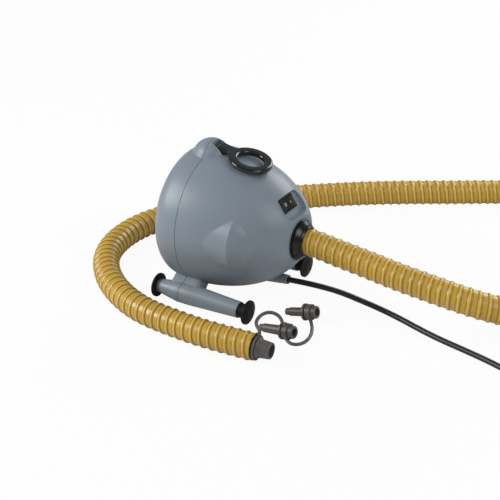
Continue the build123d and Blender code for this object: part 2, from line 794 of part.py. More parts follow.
front_bearing_x = motor_front_x + 1.5
cap_x = front_bearing_x + bearing_width + 2.0
with BuildPart() as end_bracket:
    turn(
        [
            (motor_front_x, bearing_radius + fit),
            (motor_front_x, motor_radius),
            (motor_front_x + bracket_thickness, motor_radius),
            (motor_front_x + bracket_thickness, bearing_radius + hub_wall),
            (cap_x, bearing_radius + hub_wall),
            (cap_x, 0),
            (cap_x - 1.6, 0),
            (cap_x - 1.6, bearing_radius + fit),
        ]
    )
    with BuildSketch(across(motor_front_x - 1)) as vents:
        with PolarLocations((bearing_radius + hub_wall + motor_radius) / 2, 8, start_angle=22.5):
            Circle(8)
    extrude(vents.sketch, amount=bracket_thickness + 2, mode=Mode.SUBTRACT)

with BuildPart() as bearings:
    tube(rear_bearing_x, rear_bearing_x + bearing_width, bearing_radius, shaft_radius + run_fit)
    tube(front_bearing_x, front_bearing_x + bearing_width, bearing_radius, shaft_radius + run_fit)

with BuildPart() as shaft:
    rod(hub_rear_x - 4, cap_x - 1.6 - 0.4, shaft_radius)
    chamfer(shaft.edges().filter_by(GeomType.CIRCLE), 0.6)

slot_count, slot_depth, slot_opening = 12, 8.0, 3.2
with BuildPart() as armature_core:
    tube(core_rear_x, core_front_x, core_radius, shaft_radius)
    with BuildSketch(across(core_rear_x - 1)) as core_slots:
        with PolarLocations(core_radius - slot_depth / 2, slot_count):
            Rectangle(slot_depth + 1, slot_opening)
    extrude(core_slots.sketch, amount=core_front_x - core_rear_x + 2, mode=Mode.SUBTRACT)

winding_inner, winding_outer, winding_turn = 9.0, 21.0, 8.0
with BuildPart() as armature_winding:
    with BuildSketch(across(core_rear_x - 1)) as bars_in_slots:
        with PolarLocations(core_radius - slot_depth / 2 - 0.6, slot_count):
            Rectangle(slot_depth - 1.4, slot_opening - 0.3)
    extrude(bars_in_slots.sketch, amount=core_front_x - core_rear_x + 2)
    for end_x, way in ((core_rear_x, -1), (core_front_x, 1)):
        turn(
            [
                (end_x, winding_inner),
                (end_x, winding_outer),
                (end_x + way * winding_turn * 0.6, winding_outer),
                (end_x + way * winding_turn, winding_outer - 4),
                (end_x + way * winding_turn, winding_inner),
            ]
        )

with BuildPart() as commutator:
    tube(commutator_rear_x, commutator_front_x, commutator_radius, shaft_radius)
    with BuildSketch(across(commutator_rear_x + 1.5)) as segment_gaps:
        with PolarLocations(commutator_radius, 2 * slot_count):
            Rectangle(1.6, 0.5)
    extrude(segment_gaps.sketch, amount=commutator_front_x, mode=Mode.SUBTRACT)

pole_width, shoe_thickness, ring_thickness = 22.0, 3.0, 5.8
shoe_inner = core_radius + air_gap
with BuildPart() as stator_core:
    tube(core_rear_x, core_front_x, stator_radius, stator_radius - ring_thickness)
    for side in (-1, 1):
        with Locations(((core_rear_x + core_front_x) / 2, 0, axis_height + side * (shoe_inner + 7))):
            Box(core_front_x - core_rear_x, pole_width, 14)
        with BuildSketch(across(core_rear_x)) as shoe:
            Circle(shoe_inner + shoe_thickness)
            with Locations((0, side * (shoe_inner + 20) * 0.72)):
                Rectangle(3 * shoe_inner, 40, mode=Mode.INTERSECT)
        extrude(shoe.sketch, amount=core_front_x - core_rear_x)
    rod(core_rear_x - 1, core_front_x + 1, shoe_inner, Mode.SUBTRACT)

coil_overhang, coil_depth, coil_width = 6.0, 6.0, 7.5
with BuildPart() as field_coils:
    for side in (-1, 1):
        mid_x = (core_rear_x + core_front_x) / 2
        mid_z = axis_height + side * (shoe_inner + shoe_thickness + 0.8 + coil_depth / 2)
        with Locations((mid_x, 0, mid_z)):
            Box(core_front_x - core_rear_x + 2 * coil_overhang, pole_width + 2 * coil_width, coil_depth)
            Box(core_front_x - core_rear_x + 0.4, pole_width + 0.4, coil_depth + 1, mode=Mode.SUBTRACT)
    rod(core_rear_x - 20, core_front_x + 20, stator_radius - ring_thickness - 0.3, Mode.INTERSECT)

brush_length, brush_gap = 15.0, 0.3
with BuildPart() as brush_holders:
    for side in (-1, 1):
        mid_y = side * (holder_inner + holder_outer) / 2
        long = brush_long + 2 * holder_wall
        short = brush_short + 2 * holder_wall
        with Locations((brush_x, mid_y, axis_height)):
            Box(long, holder_outer - holder_inner, short)
        with Locations((brush_x, mid_y - side * holder_wall, axis_height)):
            Box(brush_long + 2 * fit, holder_outer - holder_inner, brush_short + 2 * fit, mode=Mode.SUBTRACT)

brush_face = commutator_radius + brush_gap
with BuildPart() as brushes:
    for side in (-1, 1):
        with Locations((brush_x, side * (brush_face + brush_length / 2), axis_height)):
            Box(brush_long, brush_length, brush_short)

spring_wire, spring_radius = 0.4, 1.9
spring_length = holder_outer - holder_wall - brush_face - brush_length - 2 * spring_wire
with BuildPart() as brush_springs:
    for side in (-1, 1):
        start = side * (brush_face + brush_length + spring_wire)
        with BuildLine() as coil_line:
            Helix(
                pitch=spring_length / 7,
                height=spring_length,
                radius=spring_radius,
                center=(brush_x, start, axis_height),
                direction=(0, side, 0),
            )
        with BuildSketch(Plane(origin=coil_line.line @ 0, z_dir=coil_line.line % 0)) as wire:
            Circle(spring_wire)
        sweep(wire.sketch, path=coil_line.line, is_frenet=True)

save(motor_bracket.part, "motor_bracket")
save(motor_can.part, "motor_can")
save(end_bracket.part, "end_bracket")
save(bearings.part, "bearings")
save(shaft.part, "shaft")
save(armature_core.part, "armature_core")
save(armature_winding.part, "armature_winding")
save(commutator.part, "commutator")
save(stator_core.part, "stator_core")
save(field_coils.part, "field_coils")
save(brush_holders.part, "brush_holders")
save(brushes.part, "brushes")
save(brush_springs.part, "brush_springs")

# The motor's nose sits in a rubber cup in a three-armed carrier, screwed to the front shell.
cup_start_x = motor_front_x + bracket_thickness + 0.3
cup_wall, cup_floor = 4.0, 2.0
boss_outer = bearing_radius + hub_wall
with BuildPart() as motor_cup:
    turn(
        [
            (cup_start_x, boss_outer + fit),
            (cap_x, boss_outer + fit),
            (cap_x, 0),
            (cap_x + cup_floor, 0),
            (cap_x + cup_floor, boss_outer + cup_wall),
            (cup_start_x, boss_outer + cup_wall),
        ]
    )

carrier_hub = boss_outer + cup_wall + fit
with BuildPart() as motor_carrier:
    turn(
        [
            (cup_start_x + 1, carrier_hub),
            (cap_x + cup_floor, carrier_hub),
            (cap_x + cup_floor, 8),
            (cap_x + cup_floor + 2, 8),
            (cap_x + cup_floor + 2, carrier_hub + 3),
            (cup_start_x + 1, carrier_hub + 3),
        ]
    )
    with BuildSketch(across(carrier_x)) as arms:
        for angle in carrier_angles:
            turned = radians(angle)
            out = Vector(cos(turned), sin(turned))
            side = Vector(-sin(turned), cos(turned)) * 5
            near, far = out * (carrier_hub + 1), out * carrier_circle
            with BuildLine():
                Polyline(near - side, far - side, far + side, near + side, close=True)
            make_face()
            with Locations((far.X, far.Y)):
                Circle(6.5)
    extrude(arms.sketch, amount=carrier_thickness)
    add(bosses(carrier_x - 1, carrier_x + carrier_thickness + 1, 1.5 + shell_gap, carrier_angles, carrier_circle),
        mode=Mode.SUBTRACT)

with BuildPart() as carrier_screws:
    add(bosses(carrier_x - 2.4, carrier_x, 3.4, carrier_angles, carrier_circle))
    add(bosses(carrier_x, carrier_x + carrier_thickness + 11, 1.5, carrier_angles, carrier_circle))

save(motor_cup.part, "motor_cup")
save(motor_carrier.part, "motor_carrier")
save(carrier_screws.part, "carrier_screws")

# ---------------------------------------------------------------------------- switch


def switch_block(wide, tall, low, high, mode=Mode.ADD, middle=0.0):
    """A block on the switch's face, wide along Y, from low to high above the pocket's floor."""
    with BuildSketch(switch_plane(low)) as outline:
        with Locations((middle, 0)):
            Rectangle(wide, tall)
    extrude(outline.sketch, amount=high - low, mode=mode)


switch_body_long, switch_body_short = bezel_long - 3 - 2 * fit, bezel_short - 3 - 2 * fit
recess_long, recess_short = 26.6, 15.0
rocker_long, rocker_short = recess_long - 2.6, recess_short - 0.6
pivot_depth, pivot_radius = 3.0, 1.2
rocker_end, rocker_middle = 3.5, 1.6    # how far the rocker's ends and middle stand out

with BuildPart() as switch_housing:
    switch_block(bezel_long, bezel_short, 0, bezel_rim)
    fillet(switch_housing.faces().sort_by(Axis((0, 0, 0), switch_normal))[-1].edges(), 1.2)
    switch_block(switch_body_long, switch_body_short, -switch_depth, 0)
    switch_block(recess_long, recess_short, -9, bezel_rim + 1, Mode.SUBTRACT)
    with BuildSketch(Plane(origin=switch_plane(-pivot_depth).origin, x_dir=(0, 1, 0), z_dir=switch_up)) as trunnion:
        Circle(pivot_radius + run_fit)
    extrude(trunnion.sketch, amount=recess_short / 2 + 1.2, both=True, mode=Mode.SUBTRACT)

rocker_x = Vector(0, cos(radians(rocker_tilt)), 0) + switch_normal * sin(radians(rocker_tilt))
rocker_plane = Plane(origin=switch_plane(-pivot_depth).origin, x_dir=rocker_x, z_dir=switch_up)
with BuildPart() as rocker:
    with BuildSketch(rocker_plane) as rocker_side:
        with BuildLine():
            half = rocker_long / 2
            top, dip = pivot_depth + rocker_end, pivot_depth + rocker_middle
            ThreePointArc((half, -top), (0, -dip), (-half, -top))
            Polyline((-half, -top), (-half + 0.8, -top + 4.6), (-3.5, 2.6), (3.5, 2.6), (half - 0.8, -top + 4.6),
                     (half, -top))
        make_face()
    extrude(rocker_side.sketch, amount=rocker_short / 2, both=True)
    with BuildSketch(rocker_plane) as pivots:
        Circle(pivot_radius)
    extrude(pivots.sketch, amount=recess_short / 2 + 1.1, both=True)

with BuildPart() as switch_terminals:
    for across_y in (-9, -3, 3, 9):
        switch_block(0.8, 6.3, -switch_depth - 8, -switch_depth, middle=across_y)

save(switch_housing.part, "switch_housing")
save(rocker.part, "rocker")
save(switch_terminals.part, "switch_terminals")

# ------------------------------------------------------------------- cable where it leaves

gland_rear_x = 60.0
spout_line = Vector(1, 0, (spout_end_z - spout_start_z) / (spout_end_x - spout_start_x)).normalized()
with BuildPart() as cable_gland:
    # The rubber sleeve fills the spout's bore; its lip stands against the spout's inner end.
    add(spout(spout_wall + fit))
    with BuildSketch(across(gland_rear_x - 60, z=axis_height)) as inner_part:
        Rectangle(400, 400)
    extrude(inner_part.sketch, amount=60, mode=Mode.SUBTRACT)
    with BuildSketch(Plane(origin=(spout_end_x, 0, spout_end_z), x_dir=(0, 1, 0), z_dir=spout_line)) as cable_bore:
        Circle(cable_radius + fit)
    extrude(cable_bore.sketch, amount=60, both=True, mode=Mode.SUBTRACT)

inner_start = Vector(spout_end_x, 0, spout_end_z)
clamp_rear = inner_start + spout_line * ((clamp_x - 6 - spout_end_x) / spout_line.X)
with BuildPart() as inner_cable:
    with BuildLine() as inner_path:
        FilletPolyline(
            inner_start,
            clamp_rear,
            clamp_rear + Vector(-10, 0, 4),
            clamp_rear + Vector(-14, 0, 16),
            radius=8,
        )
    with BuildSketch(Plane(origin=inner_path.line @ 0, z_dir=inner_path.line % 0)) as round_section:
        Circle(cable_radius)
    sweep(round_section.sketch, path=inner_path.line)

clamp_bar_length, clamp_bar_width, clamp_bar_thickness = 26.0, 8.0, 3.0
with BuildPart() as cord_clamp:
    with Locations((clamp_x, 0, clamp_z + clamp_bar_thickness / 2)):
        Box(clamp_bar_width, clamp_bar_length, clamp_bar_thickness)
    with Locations((clamp_x, -clamp_spread, clamp_z), (clamp_x, clamp_spread, clamp_z)):
        Cylinder(clamp_screw_radius + run_fit, 4 * clamp_bar_thickness, mode=Mode.SUBTRACT)

with BuildPart() as clamp_screws:
    for side in (-1, 1):
        with Locations((clamp_x, side * clamp_spread, clamp_z + clamp_bar_thickness + 0.9)):
            Cylinder(2.6, 1.8)
        screw_reach = clamp_bar_thickness + clamp_screw_bite
        with Locations((clamp_x, side * clamp_spread, clamp_z + clamp_bar_thickness - screw_reach / 2)):
            Cylinder(clamp_screw_radius - fit, screw_reach)

save(cable_gland.part, "cable_gland")
save(inner_cable.part, "inner_cable")
save(cord_clamp.part, "cord_clamp")
save(clamp_screws.part, "clamp_screws")

# -------------------------------------------------------------------- hose, nozzle, adapters


def rounded_path(points):
    """Straight runs joined by arcs, each as large as its two runs allow."""
    corners = [Vector(point) for point in points]
    radii = []
    for before, corner, after in zip(corners, corners[1:], corners[2:]):
        run_in, run_out = corner - before, after - corner
        half_turn = radians(run_in.get_angle(run_out)) / 2
        radii.append(0.45 * min(run_in.length, run_out.length) / tan(half_turn))
    print("radii", [round(radius) for radius in radii])
    with BuildLine() as path:
        FilletPolyline(*corners, radius=radii)
    return path.wires()[0]


def swept_tube(path, outer, inner=0.0):
    """A round tube or rod along a path."""
    with BuildPart() as form:
        with BuildSketch(Plane(origin=path @ 0, z_dir=path % 0)) as section:
            Circle(outer)
            if inner:
                Circle(inner, mode=Mode.SUBTRACT)
        sweep(section.sketch, path=path)
    print("tube", round(path.length), round(form.part.volume / (section.sketch.area * path.length), 4))
    return form.part


def turn_along(origin, heading, outline, mode=Mode.ADD):
    """Turn a closed outline of (distance, radius) points about a heading."""
    plane = Plane(origin=origin, x_dir=heading, z_dir=heading.cross(Vector(0, 0, 1)))
    with BuildSketch(plane) as profile:
        with BuildLine():
            Polyline(*outline, close=True)
        make_face()
    revolve(profile.sketch, axis=Axis(origin, heading), mode=mode)


# The hose leaves the outlet, swings out to the right, passes behind the casing and comes
# round its left end to lie along its front.
floor_z = hose_radius + fit
hose_points = [
    (119.5, -163, floor_z), (52, -170.2, floor_z), (-10, -168.6, floor_z), (-71, -162.8, floor_z),
    (-127, -140.2, floor_z), (-175.2, -105.6, floor_z), (-214.4, -58.6, floor_z), (-232.2, -3.4, floor_z),
    (-231.5, 54.5, floor_z), (-211.3, 110.7, floor_z), (-182, 162.5, floor_z), (-145.5, 210.5, floor_z),
    (-101.8, 254.6, floor_z), (-55, 295, floor_z), (-3.2, 337.8, floor_z), (51.8, 377.4, floor_z),
    (107.2, 413.1, floor_z), (151.8, 441, floor_z), (195, 470, floor_z), (231.6, 489, floor_z),
    (293, 501, floor_z), (355, 493, floor_z), (412, 467, floor_z), (457.6, 424, floor_z),
    (488, 369, floor_z), (499.9, 308, floor_z), (502, 254, floor_z), (501, 202, 23.5), (491, 143.5, 32),
    (466, 90, 45), (426, 47, 60), (381, 19, 73), (338, 7, 82.6), (296, 2.5, 88.6), (250, 0, 93.8),
    (200, 0.5, 99.8), (151, 0, 105), (cuff_front_x + 8.5, 0, outlet_height), (cuff_front_x, 0, outlet_height),
]
hose_path = rounded_path(hose_points)
hose_run = swept_tube(hose_path, hose_radius, hose_radius - hose_wall)
with BuildPart() as hose:
    add(hose_run)
    tube(socket_x, cuff_front_x + hose_end_wall, hose_end_radius, hose_end_radius - hose_end_wall, z=outlet_height)
    tube(cuff_front_x, cuff_front_x + hose_end_wall, hose_radius - hose_wall / 2, hose_end_radius - hose_end_wall,
         z=outlet_height)
save(hose.part, "hose")

hose_end = Vector(*hose_points[0])
hose_heading = (hose_end - Vector(*hose_points[1])).normalized()
end_ring_thickness, eyelet_thickness = 2.0, 3.5
nozzle_neck, nozzle_length = 14.0, 26.0
nozzle_depth = 18.0          # how far it reaches into the hose
nozzle_eyelet_radius = 18.0
nozzle_bore = 9.6
tube_end = end_ring_thickness + eyelet_thickness
with BuildPart() as hose_end_ring:
    turn_along(hose_end, hose_heading, [
        (0, nozzle_neck + fit),
        (0, hose_end_radius - 0.5),
        (0.6, hose_end_radius),
        (end_ring_thickness, hose_end_radius),
        (end_ring_thickness, nozzle_neck + fit),
    ])

with BuildPart() as nozzle:
    turn_along(hose_end, hose_heading, [
        (-nozzle_depth, nozzle_bore),
        (-nozzle_depth, hose_radius - hose_wall - fit),
        (0, hose_radius - hose_wall - fit),
        (0, nozzle_neck),
        (tube_end, nozzle_neck),
        (tube_end + 0.6, nozzle_neck + 1.4),
        (tube_end + 1.6, nozzle_neck + 1.2),
        (tube_end + 5, nozzle_neck - 0.8),
        (nozzle_length - 0.8, nozzle_neck - 2.2),
        (nozzle_length, nozzle_neck - 2.8),
        (nozzle_length, nozzle_bore),
    ])

# The two adapters lie on the floor, each on its flange and its tip.
adapter_tube, adapter_bore, tip_bore = 9.3, 5.8, 3.0
flange_radius, flange_thickness = 12.4, 3.0
tip_radius = 4.8
eyelet_start, eyelet_end, eyelet_radius = 2.2, 9.8, 11.6


def lying(x, y, heading_degrees, reach):
    """The middle of a flange's front face, and the heading, of an adapter that lies on the floor."""
    pitch = atan2(flange_radius - tip_radius, reach - flange_thickness)
    turned = radians(heading_degrees)
    heading = Vector(cos(turned) * cos(pitch), sin(turned) * cos(pitch), sin(pitch))
    height = flange_radius * cos(pitch) + flange_thickness * sin(pitch) + fit
    return Vector(x, y, height), heading


def adapter(place, reach, root_radius, mouth):
    """A stepped plastic adapter: a tapered tip, a flange and a tube that plugs into the nozzle."""
    with BuildPart() as form:
        turn_along(*place, [
            (-reach, tip_bore),
            (-reach, tip_radius),
            (-reach + 6, tip_radius + 0.7),
            (-reach + 7, tip_radius + 1.5),
            (-flange_thickness, root_radius),
            (-flange_thickness, flange_radius),
            (0, flange_radius),
            (0, adapter_tube),
            (mouth - 0.8, adapter_tube),
            (mouth, adapter_tube - 0.8),
            (mouth, adapter_bore),
            (4, adapter_bore),
            (1, tip_bore),
        ])
    return form.part


wide_reach, wide_mouth = 42.0, 17.5
narrow_reach, narrow_mouth = 33.5, 17.5
wide_place = lying(125.6, -93.0, -4.0, wide_reach)
narrow_place = lying(125.6, -30.3, 3.0, narrow_reach)
adapter_wide = adapter(wide_place, wide_reach, 7.4, wide_mouth)
adapter_narrow = adapter(narrow_place, narrow_reach, 6.6, narrow_mouth)

# One moulded tether holds them: an eyelet on the nozzle and one on each adapter, joined by two straps.
strap_radius = 2.5
first_strap = rounded_path([
    (124, -158.6, 35.7), (124, -156.4, 44.6), (115.5, -150.8, 46.5), (108, -140.5, 45.5), (103.2, -127, 43.8),
    (100.8, -112.7, 41.8), (101.8, -99.7, 39), (106.5, -92.8, 36.5), (112.5, -90.6, 34),
    (119.1, -92.4, 31.5), (125.2, -97.1, 27.2), (128.7, -96.7, 22.8),
])
second_strap = rounded_path([
    (131.2, -97.5, 4.6), (136, -101.2, 3.2), (143.6, -103.9, 2.6), (151.8, -101, 2.6), (156.8, -92.5, 2.6),
    (157.5, -80, 2.6), (153.6, -64, 2.6), (145.8, -49, 2.6), (138.2, -38.5, 3.1), (132.4, -32, 4.6),
])
first_form = swept_tube(first_strap, strap_radius)
second_form = swept_tube(second_strap, strap_radius)
with BuildPart() as tether:
    add(first_form)
    add(second_form)
    turn_along(hose_end, hose_heading, [
        (end_ring_thickness, 0),
        (end_ring_thickness, nozzle_eyelet_radius),
        (tube_end, nozzle_eyelet_radius),
        (tube_end, 0),
    ])
    for place in (wide_place, narrow_place):
        turn_along(*place, [(eyelet_start, 0), (eyelet_start, eyelet_radius), (eyelet_end, eyelet_radius),
                            (eyelet_end, 0)])
    turn_along(hose_end, hose_heading, [(-30, 0), (-30, nozzle_neck + fit), (40, nozzle_neck + fit), (40, 0)],
               Mode.SUBTRACT)
    for place in (wide_place, narrow_place):
        turn_along(*place, [(-20, 0), (-20, adapter_tube + fit), (20, adapter_tube + fit), (20, 0)],
                   Mode.SUBTRACT)

save(hose_end_ring.part, "hose_end_ring")
save(nozzle.part, "nozzle")
save(adapter_wide, "adapter_wide")
save(adapter_narrow, "adapter_narrow")
save(tether.part, "tether")

# ------------------------------------------------------------------------ mains cable and plug

cable_points = [
    (spout_end_x, 0, spout_end_z),
    (spout_end_x + 12, 0, spout_end_z + 12 * spout_line.Z / spout_line.X),
    (107, 3.5, 38.8), (127, 12.5, 34.5), (150, 26, 26.2), (180, 37, 15), (210, 41, 8), (244, 36.5, 4.7),
    (280, 25, 4.3), (316, 15, 4.35), (352, 8, 4.3), (388, 0, 4.6), (419.2, -9.5, 5.45), (439.9, -17.05, 5.45),
]
cable_path = rounded_path(cable_points)
mains_cable = swept_tube(cable_path, cable_radius)
save(mains_cable, "mains_cable")

# The rest of the cable is coiled and tied: three turns side by side, in two layers.
cable_pitch = 2 * cable_radius
coil_inner, turns_across, layers = 34.5, 3, 2
coil_outer = coil_inner + turns_across * cable_pitch
coil_low = 1.2
coil_top = coil_low + layers * cable_pitch
outer_turn = coil_outer - cable_radius
stub_length = 32.0
coil_entry = Vector(*cable_points[-1])
entry_step = coil_entry - Vector(*cable_points[-2])
entry_heading = Vector(entry_step.X, entry_step.Y, 0).normalized()
entry_left = Vector(-entry_heading.Y, entry_heading.X, 0)
coil_centre = coil_entry + entry_heading * stub_length + entry_left * outer_turn
coil_centre = Vector(coil_centre.X, coil_centre.Y, 0)
exit_angle = radians(340)
exit_out = Vector(cos(exit_angle), sin(exit_angle), 0)
exit_heading = Vector(-exit_out.Y, exit_out.X, 0)
coil_exit = coil_centre + exit_out * outer_turn + exit_heading * stub_length + Vector(0, 0, coil_top - cable_radius)

with BuildPart() as cable_coil:
    with BuildSketch(Plane(origin=coil_centre, x_dir=(1, 0, 0), z_dir=(0, -1, 0))):
        with Locations(((coil_inner + coil_outer) / 2, (coil_low + coil_top) / 2)):
            RectangleRounded(coil_outer - coil_inner, coil_top - coil_low, cable_radius - 0.2)
    revolve(axis=Axis(coil_centre, (0, 0, 1)))
    for end, heading in ((coil_entry, entry_heading), (coil_exit, -exit_heading)):
        with BuildSketch(Plane(origin=end, z_dir=heading)) as stub:
            Circle(cable_radius)
        extrude(stub.sketch, amount=stub_length)

band_width, band_thickness = 5.0, 1.0
with BuildPart() as cable_tie:
    band_angle = radians(120)
    band_out = Vector(cos(band_angle), sin(band_angle), 0)
    band_middle = coil_centre + band_out * ((coil_inner + coil_outer) / 2) + Vector(0, 0, (coil_low + coil_top) / 2)
    band_plane = Plane(origin=band_middle, x_dir=band_out, z_dir=band_out.cross(Vector(0, 0, 1)))
    band_long, band_tall = coil_outer - coil_inner + 0.3, coil_top - coil_low + 0.3
    with BuildSketch(band_plane) as band:
        RectangleRounded(band_long + 2 * band_thickness, band_tall + 2 * band_thickness, cable_radius + 0.8)
        RectangleRounded(band_long, band_tall, cable_radius - 0.2, mode=Mode.SUBTRACT)
    extrude(band.sketch, amount=band_width / 2, both=True)

plug_z = 9.0
plug_drop = coil_exit.Z - plug_z
lead_end = coil_exit + exit_heading * 56 - Vector(0, 0, plug_drop)
plug_lead = swept_tube(
    rounded_path([
        coil_exit,
        coil_exit + exit_heading * 14,
        lead_end - exit_heading * 24,
        lead_end,
    ]),
    cable_radius,
)

plug_width, plug_grip, plug_taper = 36.0, 24.0, 22.0
pin_space, plug_pin_radius, plug_pin_length = 19.0, 2.0, 19.0
plug_side = Vector(-exit_heading.Y, exit_heading.X, 0)


def plug_plane(along):
    """A plane across the plug, with its own x along the plug's width."""
    return Plane(origin=lead_end + exit_heading * along, x_dir=plug_side, z_dir=exit_heading)


with BuildPart() as plug_body:
    with BuildSketch(plug_plane(0)):
        RectangleRounded(11, 11, 5.4)
    with BuildSketch(plug_plane(plug_taper)):
        RectangleRounded(plug_width, 2 * plug_z - 0.4, 5.4)
    loft()
    with BuildSketch(plug_plane(plug_taper)) as grip:
        RectangleRounded(plug_width, 2 * plug_z - 0.4, 5.4)
    extrude(grip.sketch, amount=plug_grip)

with BuildPart() as plug_pins:
    with BuildSketch(plug_plane(plug_taper + plug_grip)) as pin_sections:
        for side in (-1, 1):
            with Locations((side * pin_space / 2, 0)):
                Circle(plug_pin_radius)
    extrude(pin_sections.sketch, amount=plug_pin_length)
    chamfer(plug_pins.faces().sort_by(Axis((0, 0, 0), exit_heading))[-2:].edges(), 0.8)

save(cable_coil.part, "cable_coil")
save(cable_tie.part, "cable_tie")
save(plug_lead, "plug_lead")
save(plug_body.part, "plug_body")
save(plug_pins.part, "plug_pins")
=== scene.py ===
from math import cos, pi, radians, sin

import bpy
import bmesh
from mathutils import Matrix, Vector


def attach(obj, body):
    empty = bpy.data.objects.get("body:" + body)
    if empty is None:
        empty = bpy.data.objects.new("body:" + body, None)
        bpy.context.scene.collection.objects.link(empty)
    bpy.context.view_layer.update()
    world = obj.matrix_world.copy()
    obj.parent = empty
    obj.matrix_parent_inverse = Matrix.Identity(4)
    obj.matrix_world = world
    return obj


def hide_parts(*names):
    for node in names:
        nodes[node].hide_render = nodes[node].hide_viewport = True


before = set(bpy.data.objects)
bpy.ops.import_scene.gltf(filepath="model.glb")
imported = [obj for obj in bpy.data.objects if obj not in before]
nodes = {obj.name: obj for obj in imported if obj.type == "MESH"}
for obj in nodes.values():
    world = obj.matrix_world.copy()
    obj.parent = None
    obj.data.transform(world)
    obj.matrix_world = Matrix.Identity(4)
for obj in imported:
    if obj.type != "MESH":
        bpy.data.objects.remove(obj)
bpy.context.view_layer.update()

# ------------------------------------------------------------------------------ camera
# A long lens looks down at the inflator from ahead of its right side. It stands far off, so
# the casing and the hose behind it come out at nearly one scale.

camera_place = Vector((1.04476, -1.65675, 1.09075))
camera_aim = Vector((-0.46917, 0.75153, -0.46376))
sensor_width, focal_length = 36.0, 107.49
camera_data = bpy.data.cameras.new("studio_camera")
camera_data.sensor_width = sensor_width
camera_data.lens = focal_length
camera = bpy.data.objects.new("studio_camera", camera_data)
camera.location = camera_place
camera.rotation_mode = "QUATERNION"
camera.rotation_quaternion = camera_aim.to_track_quat("-Z", "Y")
bpy.context.scene.collection.objects.link(camera)
bpy.context.scene.camera = camera

# ------------------------------------------------------------------------- ribbed hose
# A long yellow hose of soft plastic. A stiffer rib is wound along it in a helix, so it
# bends without closing. It is pushed into its cuff at the outlet.


def link(piece):
    """Put a finished piece in the scene."""
    bpy.context.scene.collection.objects.link(piece)
    return piece


def route_curve(name, points, steps_per_point=16):
    """A smooth curve that the points steer."""
    curve = bpy.data.curves.new(name, "CURVE")
    curve.dimensions = "3D"
    curve.resolution_u = steps_per_point
    spline = curve.splines.new("NURBS")
    spline.points.add(len(points) - 1)
    for control, point in zip(spline.points, points):
        control.co = (*point, 1.0)
    spline.order_u = 3
    spline.use_endpoint_u = True
    return link(bpy.data.objects.new(name, curve))


def points_along(curve, step):
    """Points at an even step along a curve, from its start to its end."""
    drawn = bpy.data.meshes.new_from_object(curve)
    line = [vertex.co.copy() for vertex in drawn.vertices]
    bpy.data.meshes.remove(drawn)
    reached = [0.0]
    for before, after in zip(line, line[1:]):
        reached.append(reached[-1] + (after - before).length)
    count = round(reached[-1] / step)
    found, span = [], 0
    for number in range(count + 1):
        distance = reached[-1] * number / count
        while span < len(line) - 2 and reached[span + 1] < distance:
            span += 1
        share = (distance - reached[span]) / (reached[span + 1] - reached[span])
        found.append(line[span].lerp(line[span + 1], share))
    return found


def tube_mesh(name, path, sides, radius_at):
    """A closed tube round a path. radius_at gives its radius at a ring and a turn of 0 to 1."""
    shape = bmesh.new()
    forward = (path[1] - path[0]).normalized()
    across = forward.orthogonal().normalized()
    rings = []
    for number, centre in enumerate(path):
        ahead = path[min(number + 1, len(path) - 1)] - path[max(number - 1, 0)]
        ahead.normalize()
        across = (across - ahead * across.dot(ahead)).normalized()
        other = ahead.cross(across)
        ring = []
        for side in range(sides):
            turn = side / sides
            out = across * cos(2 * pi * turn) + other * sin(2 * pi * turn)
            ring.append(shape.verts.new(centre + out * radius_at(number, turn)))
        rings.append(ring)
    for ring, following in zip(rings, rings[1:]):
        for side in range(sides):
            beside = (side + 1) % sides
            shape.faces.new((ring[side], ring[beside], following[beside], following[side]))
    shape.faces.new(list(reversed(rings[0])))
    shape.faces.new(rings[-1])
    for face in shape.faces:
        face.smooth = len(face.verts) == 4
    mesh = bpy.data.meshes.new(name)
    shape.to_mesh(mesh)
    shape.free()
    return link(bpy.data.objects.new(name, mesh))


hose_radius, hose_wall_radius = 0.02042, 0.0188
hose_floor = 0.02055           # height of its middle where it lies on the floor
hose_route = [
    (0.1005, 0, 0.1092), (0.118, 0, 0.1092), (0.151, 0, 0.105), (0.2, 0.0005, 0.0998), (0.25, 0, 0.0938),
    (0.296, 0.0025, 0.0886), (0.338, 0.007, 0.0826), (0.381, 0.019, 0.073), (0.426, 0.047, 0.06),
    (0.466, 0.09, 0.045), (0.491, 0.1435, 0.032), (0.501, 0.202, 0.0235), (0.502, 0.254, hose_floor),
    (0.4999, 0.308, hose_floor), (0.488, 0.369, hose_floor), (0.4576, 0.424, hose_floor),
    (0.412, 0.467, hose_floor), (0.355, 0.493, hose_floor), (0.293, 0.501, hose_floor),
    (0.2316, 0.489, hose_floor), (0.195, 0.47, hose_floor), (0.1518, 0.441, hose_floor),
    (0.1072, 0.4131, hose_floor), (0.0518, 0.3774, hose_floor), (-0.0032, 0.3378, hose_floor),
    (-0.055, 0.295, hose_floor), (-0.1018, 0.2546, hose_floor), (-0.1455, 0.2105, hose_floor),
    (-0.182, 0.1625, hose_floor), (-0.2113, 0.1107, hose_floor), (-0.2315, 0.0545, hose_floor),
    (-0.2322, -0.0034, hose_floor), (-0.2144, -0.0586, hose_floor), (-0.1752, -0.1056, hose_floor),
    (-0.127, -0.1402, hose_floor), (-0.071, -0.1628, hose_floor), (-0.01, -0.1686, hose_floor),
    (0.052, -0.1702, hose_floor), (0.1195, -0.163, hose_floor),
]
hose_seat = 0.0095             # its plain end, inside the cuff
rib_pitch, rib_half_width = 0.0135, 0.0027
rib_roundness = 0.6            # under 1 makes its flanks steeper and its crest flatter
first_rib = 0.0125             # from the hose's seated end to its first rib
ring_step, hose_sides = 0.0009, 40

hose_line = route_curve("hose_line", hose_route)
hose_path = points_along(hose_line, ring_step)
bpy.data.objects.remove(hose_line)


def from_rib(number, turn):
    """How far a place on the hose lies from the middle of the rib, along the hose."""
    along = ((number * ring_step - first_rib) / rib_pitch - turn + 0.5) % 1.0
    return abs(along - 0.5) * rib_pitch


